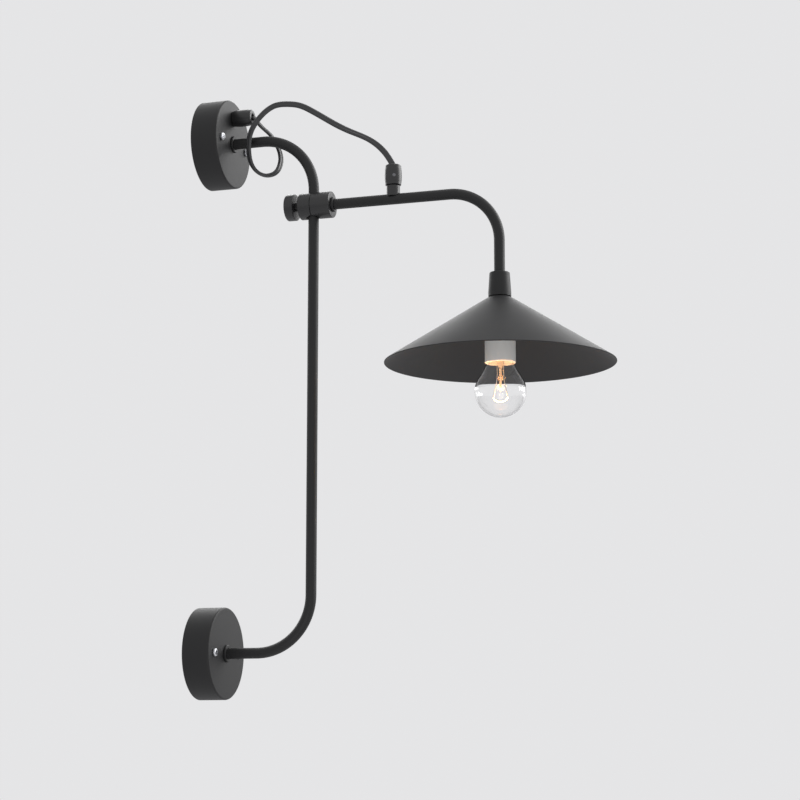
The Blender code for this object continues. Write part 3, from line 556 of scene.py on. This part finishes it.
def bent_tube(name, start, first_leg, second_leg, third_leg, bend):
    """Draws a tube out from the wall, bends it down, and bends it back to the wall if it
    has a third leg."""
    quarter = math.pi / 2
    bpy.ops.object.select_all(action="DESELECT")
    bpy.ops.mesh.primitive_circle_add(
        vertices=48,
        radius=TUBE_RADIUS,
        fill_type="NOTHING",
        location=start,
        rotation=(quarter, 0, 0),
    )
    obj = bpy.context.object
    obj.name = name
    bpy.ops.object.mode_set(mode="EDIT")
    bpy.ops.mesh.select_all(action="SELECT")
    bpy.ops.mesh.extrude_region_move(TRANSFORM_OT_translate={"value": (0, -first_leg, 0)})
    corner = Vector(start) + Vector((0, -first_leg, -bend))
    bpy.ops.mesh.spin(steps=28, angle=quarter, center=corner, axis=(-1, 0, 0))
    bpy.ops.mesh.extrude_region_move(TRANSFORM_OT_translate={"value": (0, 0, -second_leg)})
    if third_leg:
        corner += Vector((0, 0, -second_leg))
        bpy.ops.mesh.spin(steps=28, angle=quarter, center=corner, axis=(-1, 0, 0))
        bpy.ops.mesh.extrude_region_move(TRANSFORM_OT_translate={"value": (0, third_leg, 0)})
    bpy.ops.mesh.select_all(action="SELECT")
    bpy.ops.mesh.remove_doubles(threshold=1e-6)
    bpy.ops.mesh.normals_make_consistent(inside=False)
    bpy.ops.object.mode_set(mode="OBJECT")
    bpy.ops.object.transform_apply(location=True, rotation=True, scale=True)
    shell = obj.modifiers.new("wall", "SOLIDIFY")
    shell.thickness = TUBE_WALL
    shell.offset = -1
    bpy.ops.object.modifier_apply(modifier="wall")
    bpy.ops.object.shade_smooth_by_angle(angle=SMOOTH_UNDER)
    return obj


def washer_outline(bore, radius, length, edge):
    """A flat ring on the tube, with its outer edge broken on the room's side."""
    outline = [(bore, 0), (radius, 0), (radius, length - edge)]
    return outline + [(radius - edge, length), (bore, length)]


leg = stand_off - WALL_BEND - tube_end
upright = spacing - 2 * WALL_BEND
wall_tube = bent_tube("bent_wall_tube", (0, -tube_end, 0), leg, upright, leg, WALL_BEND)
dress(wall_tube, coat, "wall_frame", "black_paint", "wall_tube")

for which, centre in cup_centres.items():
    node = which + "_tube_collar"
    low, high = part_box(node)
    radius = (high.z - low.z) / 2
    length = high.y - low.y
    outline = washer_outline(TUBE_HOLE, radius, length, edge=0.0005)
    place = (0, high.y, centre.z)
    collar = turned(which + "_collar", outline, sides=64, ring=True, facing="room", at=place)
    dress(collar, coat, "wall_frame", "black_paint", node)

# ---------------------------------------------------------------------------
# Cord glands. Two like turned glands in a smoother black, 15 mm across and a little
# wider at mid height, one on the upper cup and one standing on a foot on the arm. A
# small screw through each one's side grips the cord.

GLAND_BORE = 0.003
GLAND_SWELL = 0.0006
GLAND_ROUND = 0.0010
GLAND_THREAD = 0.0042
turned_black = powder_coat("turned_black", grey=0.013, roughness=0.31, shine=0.55)
gland_low, gland_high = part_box("arm_gland")
gland_radius = (gland_high.x - gland_low.x) / 2
gland_length = gland_high.z - gland_low.z


def gland_outline(length, radius):
    """A barrel that swells at mid height, with a rounded top and a countersunk bore."""
    foot_edge = 0.0004
    countersink = 0.0007
    barrel_start = 0.0012
    barrel_length = length - 0.0028
    waist = radius - GLAND_SWELL
    outline = [(GLAND_BORE, 0), (waist - foot_edge, 0), (waist, foot_edge)]
    steps = 10
    for k in range(steps + 1):
        part = k / steps
        swell = GLAND_SWELL * math.sin(math.pi * part) ** 0.7
        outline.append((waist + swell, barrel_start + barrel_length * part))
    outline += arc(waist - GLAND_ROUND, length - GLAND_ROUND, GLAND_ROUND, 0, 90, 5)
    outline += [(GLAND_BORE + countersink, length), (GLAND_BORE, length - countersink)]
    return outline


wall_gland_low, wall_gland_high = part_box("wall_gland")
cup_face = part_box("upper_cup")[0].y
gland_foot_y = cup_face - 0.0003  # just off the cup's face
thread_length = wall_gland_high.y - cup_face
outline = [(GLAND_BORE, -thread_length), (GLAND_THREAD, -thread_length), (GLAND_THREAD, 0)]
outline += gland_outline(gland_foot_y - wall_gland_low.y, gland_radius)[1:]
place = (0, gland_foot_y, middle_of("wall_gland").z)
wall_gland = turned("wall_cord_gland", outline, sides=80, ring=True, facing="room", at=place)
dress(wall_gland, turned_black, "wall_frame", "black_paint", "wall_gland")

arm_gland_y = middle_of("arm_gland").y
outline = gland_outline(gland_length, gland_radius)
place = (0, arm_gland_y, gland_low.z)
arm_gland = turned("arm_cord_gland", outline, sides=80, ring=True, at=place)
dress(arm_gland, turned_black, "arm", "black_paint", "arm_gland")

foot_low, foot_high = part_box("arm_gland_foot")
foot_radius = (foot_high.x - foot_low.x) / 2
arm_axis_z = middle_of("clamp_front").z
foot_base = arm_axis_z + 0.0025  # inside the arm's tube, before the saddle is bored
outline = washer_outline(GLAND_BORE, foot_radius, foot_high.z - foot_base, edge=0.0005)
place = (0, arm_gland_y, foot_base)
gland_foot = turned("arm_gland_saddle", outline, sides=64, ring=True, at=place)


def bore(obj, radius, length, at, along):
    """Bores a round hole through a piece, along the y or the z axis."""
    bpy.ops.object.select_all(action="DESELECT")
    bpy.ops.mesh.primitive_cylinder_add(
        vertices=64,
        radius=radius,
        depth=length,
        location=at,
        rotation=(math.pi / 2 if along == "y" else 0, 0, 0),
    )
    tool = bpy.context.object
    cut = obj.modifiers.new("bore", "BOOLEAN")
    cut.operation = "DIFFERENCE"
    cut.object = tool
    bpy.context.view_layer.objects.active = obj
    bpy.ops.object.modifier_apply(modifier=cut.name)
    bpy.data.objects.remove(tool)
    bpy.ops.object.select_all(action="DESELECT")
    obj.select_set(True)
    bpy.ops.object.shade_smooth_by_angle(angle=SMOOTH_UNDER)


bore(gland_foot, TUBE_HOLE, 0.04, (0, arm_gland_y, arm_axis_z), along="y")
dress(gland_foot, turned_black, "arm", "black_paint", "arm_gland_foot")

black_steel = Finish("blackened_steel", Metallic=1.0)
black_steel_cloud = black_steel.noise(900, 2)
black_steel.feed("Roughness", 0.34 + black_steel_cloud * 0.14)
blackened = (0.11, 0.11, 0.12, 1)
rubbed = (0.22, 0.22, 0.23, 1)
black_steel.feed("Base Color", black_steel.mix(black_steel_cloud, blackened, rubbed))
refinish(black_steel, "zinc_steel", "wall_gland_screw", "arm_gland_screw")

# ---------------------------------------------------------------------------
# Clamp. Two turned black halves meet on the tube's axis round a nylon bush. The
# knob's stud presses a pad on the bush, which locks both the height and the swing.

front_low, front_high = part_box("clamp_front")
rear_low, rear_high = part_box("clamp_rear")
clamp_radius = front_high.x
clamp_edge = 0.0003
clamp_round = 0.0006
bush_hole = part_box("clamp_bush")[1].x + 0.0003
stud_hole = 0.0033
arm_recess = TUBE_HOLE + 0.0010
for node, facing, length, start in (
    ("clamp_front", "room", front_high.y - front_low.y, front_high.y),
    ("clamp_rear", "wall", rear_high.y - rear_low.y, rear_low.y),
):
    outline = [(clamp_radius - clamp_edge, 0), (clamp_radius, clamp_edge)]
    outline += arc(clamp_radius - clamp_round, length - clamp_round, clamp_round, 0, 90, 5)
    half = turned(node + "_half", outline, sides=96, facing=facing, at=(0, start, arm_axis_z))
    bore(half, bush_hole, 0.04, (0, -stand_off, arm_axis_z), along="z")
    if node == "clamp_front":
        bore(half, arm_recess, 0.006, (0, front_low.y, arm_axis_z), along="y")
        bore(half, TUBE_HOLE, 0.03, (0, front_low.y, arm_axis_z), along="y")
    else:
        bore(half, stud_hole, 0.03, (0, rear_high.y, arm_axis_z), along="y")
    dress(half, turned_black, "arm", "black_paint", node)

nylon = Finish("black_nylon", Base_Color=(0.022, 0.022, 0.023, 1))
nylon.feed("Roughness", 0.45 + nylon.noise(500, 2) * 0.15)
nylon.bump(nylon.noise(2200, 1), 0.00003, 0.3)
refinish(nylon, "black_nylon", "clamp_bush", "clamp_pad")
refinish(zinc, "zinc_steel", "clamp_screw_left", "clamp_screw_right")

stud_low, stud_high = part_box("clamp_stud")
knob_low, knob_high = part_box("clamp_knob")
knob_radius = knob_high.x
knob_length = knob_high.y - knob_low.y
knob_edge = 0.0004
knob_round = 0.0014
outline = [(stud_hole, 0.0053), (stud_hole, 0.0008), (stud_hole + 0.0008, 0)]
outline += [(knob_radius - knob_edge, 0), (knob_radius, knob_edge)]
outline += arc(knob_radius - knob_round, knob_length - knob_round, knob_round, 0, 90, 7)
outline += [(0.004, knob_length), (0, knob_length)]
knob = turned("clamp_knob_disc", outline, sides=96, facing="wall", at=(0, knob_low.y, arm_axis_z))
dress(knob, turned_black, "knob", "black_paint", "clamp_knob")
stud_radius = 0.003
neck_radius = 0.004
neck_start = rear_high.y + 0.0003 - stud_low.y
neck_end = knob_low.y - 0.0003 - stud_low.y
outline = [(stud_radius - 0.0008, 0), (stud_radius, 0.0008), (stud_radius, neck_start)]
outline += [(neck_radius, neck_start), (neck_radius, neck_end), (stud_radius, neck_end)]
outline += [(stud_radius, stud_high.y - stud_low.y)]
stud = turned("clamp_stud_stem", outline, sides=48, facing="wall", at=(0, stud_low.y, arm_axis_z))
dress(stud, turned_black, "knob", "black_paint", "clamp_stud")

# ---------------------------------------------------------------------------
# Arm. A second 9.5 mm tube, straight out of the clamp and bent down to the shade,
# with a thin lock nut against the clamp's end.

ARM_BEND = 0.045
arm_low, arm_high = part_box("arm_tube")
shade_axis_y = arm_low.y + TUBE_RADIUS
arm_leg = arm_high.y - shade_axis_y - ARM_BEND
arm_drop = arm_axis_z - ARM_BEND - arm_low.z
arm_start = (0, arm_high.y, arm_axis_z)
arm_tube = bent_tube("bent_arm_tube", arm_start, arm_leg, arm_drop, 0, ARM_BEND)
dress(arm_tube, coat, "arm", "black_paint", "arm_tube")

nut_low, nut_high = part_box("arm_lock_nut")
outline = washer_outline(TUBE_HOLE, nut_high.x, nut_high.y - nut_low.y, edge=0.0004)
place = (0, nut_high.y, arm_axis_z)
lock_nut = turned("arm_lock_ring", outline, sides=64, ring=True, facing="room", at=place)
dress(lock_nut, turned_black, "arm", "black_paint", "arm_lock_nut")

# ---------------------------------------------------------------------------
# Shade. A spun steel cone, 201 mm across, with a fine turned edge, under a plain
# turned cup that hides where the arm's thread comes in.

cup_low, cup_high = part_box("socket_cup")
cup_foot = cup_high.x
cup_top = cup_foot - 0.0011
cup_wall = 0.0012
cup_roof = 0.003
cup_round = 0.0008
cup_length = cup_high.z - cup_low.z
outline = [(cup_foot - cup_wall, 0), (cup_foot - 0.0002, 0), (cup_foot, 0.0003)]
outline += [(cup_foot, 0.0040)]
outline += arc(cup_top - cup_round, cup_length - cup_round, cup_round, 0, 90, 5)
outline += [(TUBE_HOLE, cup_length), (TUBE_HOLE, cup_length - cup_roof)]
outline += [(cup_top - cup_wall, cup_length - cup_roof)]
place = (0, shade_axis_y, cup_low.z)
socket_cup = turned("shade_neck_cup", outline, sides=96, ring=True, at=place)
dress(socket_cup, coat, "arm", "black_paint", "socket_cup")

shade_low, shade_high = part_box("shade")
SHADE_WALL = 0.001
rim = shade_high.x
shade_height = shade_high.z - shade_low.z
slope = math.degrees(math.atan2(shade_height, rim - cup_foot))
neck_outside = 0.0022
neck_inside = 0.0012
neck_place = cup_foot - 0.0012
edge_round = SHADE_WALL / 2
edge_radius = rim - edge_round - 0.0001
edge_height = edge_round + 0.0001
inner_top = shade_height - SHADE_WALL
outline = [(TUBE_HOLE, shade_height)]
outline += arc(neck_place, shade_height - neck_outside, neck_outside, 90, 90 - slope, 4)
outline += arc(edge_radius, edge_height, edge_round, 90 - slope, -90 - slope, 8)
outline += arc(neck_place, inner_top - neck_inside, neck_inside, 90 - slope, 90, 3)
outline += [(TUBE_HOLE, inner_top)]
place = (0, shade_axis_y, shade_low.z)
shade = turned("cone_shade", outline, sides=192, ring=True, at=place)
dress(shade, coat, "arm", "black_paint", "shade")

# ---------------------------------------------------------------------------
# Lampholder. A warm white moulded holder, 27 mm across, with a brass screw shell
# and centre contact inside. The lit bulb warms its mouth.

holder_low, holder_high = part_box("lampholder")
holder_radius = holder_high.x
holder_length = holder_high.z - holder_low.z
shell_low, shell_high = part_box("screw_shell")
shell_hole = shell_high.x + 0.0003

holder_white = Finish("holder_white")
holder_cloud = holder_white.noise(70, 3)
holder_white.feed("Roughness", 0.38 + holder_cloud * 0.12)
holder_dark = (0.89, 0.88, 0.84, 1)
holder_light = (0.94, 0.93, 0.90, 1)
holder_white.feed("Base Color", holder_white.mix(holder_cloud, holder_dark, holder_light))
holder_white.bump(holder_white.noise(1500, 2), 0.00002, 0.3)

# A fine seam runs round it, a little under mid height.
holder_wall = 0.0016
mouth_edge = 0.0006
seam_depth = 0.00025
top_round = 0.004
shell_foot = shell_low.z - holder_low.z  # the mouth is open up to here
chamber_top = shell_high.z + 0.0031 - holder_low.z
outline = [(holder_radius - holder_wall, 0), (holder_radius - mouth_edge, 0)]
outline += [(holder_radius, mouth_edge), (holder_radius, holder_length * 0.42)]
outline += [(holder_radius - seam_depth, holder_length * 0.425)]
outline += [(holder_radius - seam_depth, holder_length * 0.435)]
outline += [(holder_radius, holder_length * 0.44)]
outline += arc(holder_radius - top_round, holder_length - top_round, top_round, 0, 90, 8)
outline += [(TUBE_HOLE, holder_length), (TUBE_HOLE, chamber_top), (shell_hole, chamber_top)]
outline += [(shell_hole, shell_foot), (holder_radius - holder_wall, shell_foot)]
place = (0, shade_axis_y, holder_low.z)
holder = turned("lampholder_body", outline, sides=96, ring=True, at=place)
dress(holder, holder_white, "arm", "white_plastic", "lampholder")

brass = Finish("contact_brass", Metallic=1.0)
brass_cloud = brass.noise(200, 3)
brass.feed("Roughness", 0.24 + brass_cloud * 0.2)
brass.feed("Base Color", brass.mix(brass_cloud, (0.60, 0.42, 0.17, 1), (0.78, 0.58, 0.27, 1)))
refinish(brass, "contact_brass", "screw_shell", "centre_contact", "bulb_tip")

# ---------------------------------------------------------------------------
# Bulb. A clear 45 mm ball bulb on a small aluminium screw cap. A glass stem holds
# two wires, and the lit filament hangs between them in a shallow arc.

glass_low, glass_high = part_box("bulb_glass")
ball = glass_high.x
centre_z = glass_low.z + ball
neck = glass_high.z - centre_z

glass = Finish("clear_glass", Base_Color=(1, 1, 1, 1), Transmission_Weight=1.0, IOR=1.46)
glass.feed("Roughness", glass.noise(40, 2) * 0.015)

cap_low, cap_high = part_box("bulb_cap")
cap_radius = cap_high.x
throat = cap_radius - 0.0008
outline = [(throat, neck), (throat, neck - 0.0034)]
outline += [(throat + 0.0016, neck - 0.0068), (throat + 0.0040, neck - 0.0118)]
outline += arc(0, 0, ball, 36, -90, 40)[:-1] + [(0, -ball)]
place = (0, shade_axis_y, centre_z)
bulb_glass = turned("bulb_globe", outline, sides=96, capped=False, at=place)
bpy.context.view_layer.objects.active = bulb_glass
shell = bulb_glass.modifiers.new("wall", "SOLIDIFY")
shell.thickness = 0.0007
shell.offset = -1
bpy.ops.object.modifier_apply(modifier="wall")
bulb_glass.visible_shadow = False
dress(bulb_glass, glass, "bulb", "clear_glass", "bulb_glass")

cap_metal = Finish("cap_aluminium", Base_Color=(0.72, 0.71, 0.68, 1), Metallic=1.0)
cap_cloud = cap_metal.noise(300, 3)
cap_metal.feed("Roughness", 0.28 + cap_cloud * 0.2)
cap_length = cap_high.z - cap_low.z
thread_start = 0.0048
thread_turns = 4
thread_pitch = 0.00282
thread_steps = 8  # points to a turn
thread_wave = 0.0004
outline = [(cap_radius - 0.0005, 0), (cap_radius, 0), (cap_radius, thread_start - 0.0003)]
for k in range(thread_turns * thread_steps):
    wave = thread_wave * (math.cos(math.tau * k / thread_steps) - 1)
    outline.append((cap_radius + wave, thread_start + thread_pitch * k / thread_steps))
outline += [(0.0046, cap_length), (0.0040, cap_length)]
outline += [(cap_radius - 0.0013, cap_length - 0.0028)]
place = (0, shade_axis_y, cap_low.z)
bulb_cap = turned("bulb_screw_cap", outline, sides=64, ring=True, at=place)
dress(bulb_cap, cap_metal, "bulb", "bulb_metal", "bulb_cap")

vitrite = Finish("black_vitrite", Base_Color=(0.015, 0.015, 0.02, 1))
vitrite.feed("Roughness", 0.12 + vitrite.noise(500, 2) * 0.1)
refinish(vitrite, "black_glass", "cap_insulator")

# The stem is drawn out thin and ends in the small bead that holds the wires.
# The stem's warm yellow colour is painted light: it stands in for the lit filament's warm glow on
# the clear glass.
stem_glass_painted_warm_light = Finish(
    "stem_glass_painted_warm_light",
    Base_Color=(1.0, 0.90, 0.74, 1),
    Transmission_Weight=0.55,
    IOR=1.5,
)
stem_glass_painted_warm_light.feed("Roughness", 0.2 + stem_glass_painted_warm_light.noise(350, 2) * 0.2)
stem_low, stem_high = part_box("bulb_stem")
stem_length = stem_high.z - stem_low.z
bead = 0.0012
outline = [(0.0046, 0), (0.0045, -0.001), (0.0033, -0.005), (0.0026, -0.011)]
outline += [(0.0022, -0.016), (0.0013, -0.019), (0.0009, -0.023)]
outline += arc(0, bead - stem_length, bead, 40, -80, 8) + [(0, -stem_length)]
stem = turned("bulb_glass_stem", outline, sides=48, at=(0, shade_axis_y, stem_high.z))
stem.visible_shadow = False
dress(stem, stem_glass_painted_warm_light, "bulb", "clear_glass", "bulb_stem")

refinish(cap_metal, "bulb_metal", "filament_support_left", "filament_support_right")

hot = Finish("lit_filament", Base_Color=(1.0, 0.7, 0.4, 1), Roughness=0.4, Emission_Strength=60.0)
hot_glow = hot.noise(300, 1)
hot.feed("Emission Color", hot.mix(hot_glow, (1.0, 0.50, 0.16, 1), (1.0, 0.66, 0.30, 1)))
filament_low, filament_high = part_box("filament")
coil_radius = 0.0004
coil_turns = 26
span = (filament_high.y - filament_low.y) / 2 - 0.00035
sag = filament_high.z - filament_low.z - 0.0007
hang = Vector((0, shade_axis_y, filament_high.z - coil_radius))
coil = bpy.data.curves.new("filament_coil", "CURVE")
coil.dimensions = "3D"
coil.bevel_depth = 0.00012
coil.bevel_resolution = 2
coil.use_fill_caps = True
steps = coil_turns * 10
line = coil.splines.new("POLY")
line.points.add(steps)
for k, point in enumerate(line.points):
    part = k / steps
    angle = math.pi * part
    turn = math.tau * coil_turns * part
    base = Vector((0, -span * math.cos(angle), -sag * math.sin(angle)))
    out = Vector((0, -math.cos(angle), -math.sin(angle)))
    aside = Vector((1, 0, 0))
    spot = base + coil_radius * (out * math.cos(turn) + aside * math.sin(turn))
    point.co = (*(spot + hang), 1)
filament = bpy.data.objects.new("filament_coil", coil)
bpy.context.collection.objects.link(filament)
dress(filament, hot, "bulb", "filament", "filament")

# The light that the filament gives is a small lamp that goes where the filament goes.
glow = bpy.data.lights.new("bulb_glow", "POINT")
glow.energy = 0.055
glow.color = (1.0, 0.46, 0.15)
glow.shadow_soft_size = 0.004
glow_lamp = bpy.data.objects.new("bulb_glow", glow)
bpy.context.collection.objects.link(glow_lamp)
glow_lamp.location = (0, shade_axis_y, centre_z - 0.004)
glow_lamp.parent = filament
glow_lamp.visible_camera = False
glow_lamp.visible_transmission = False
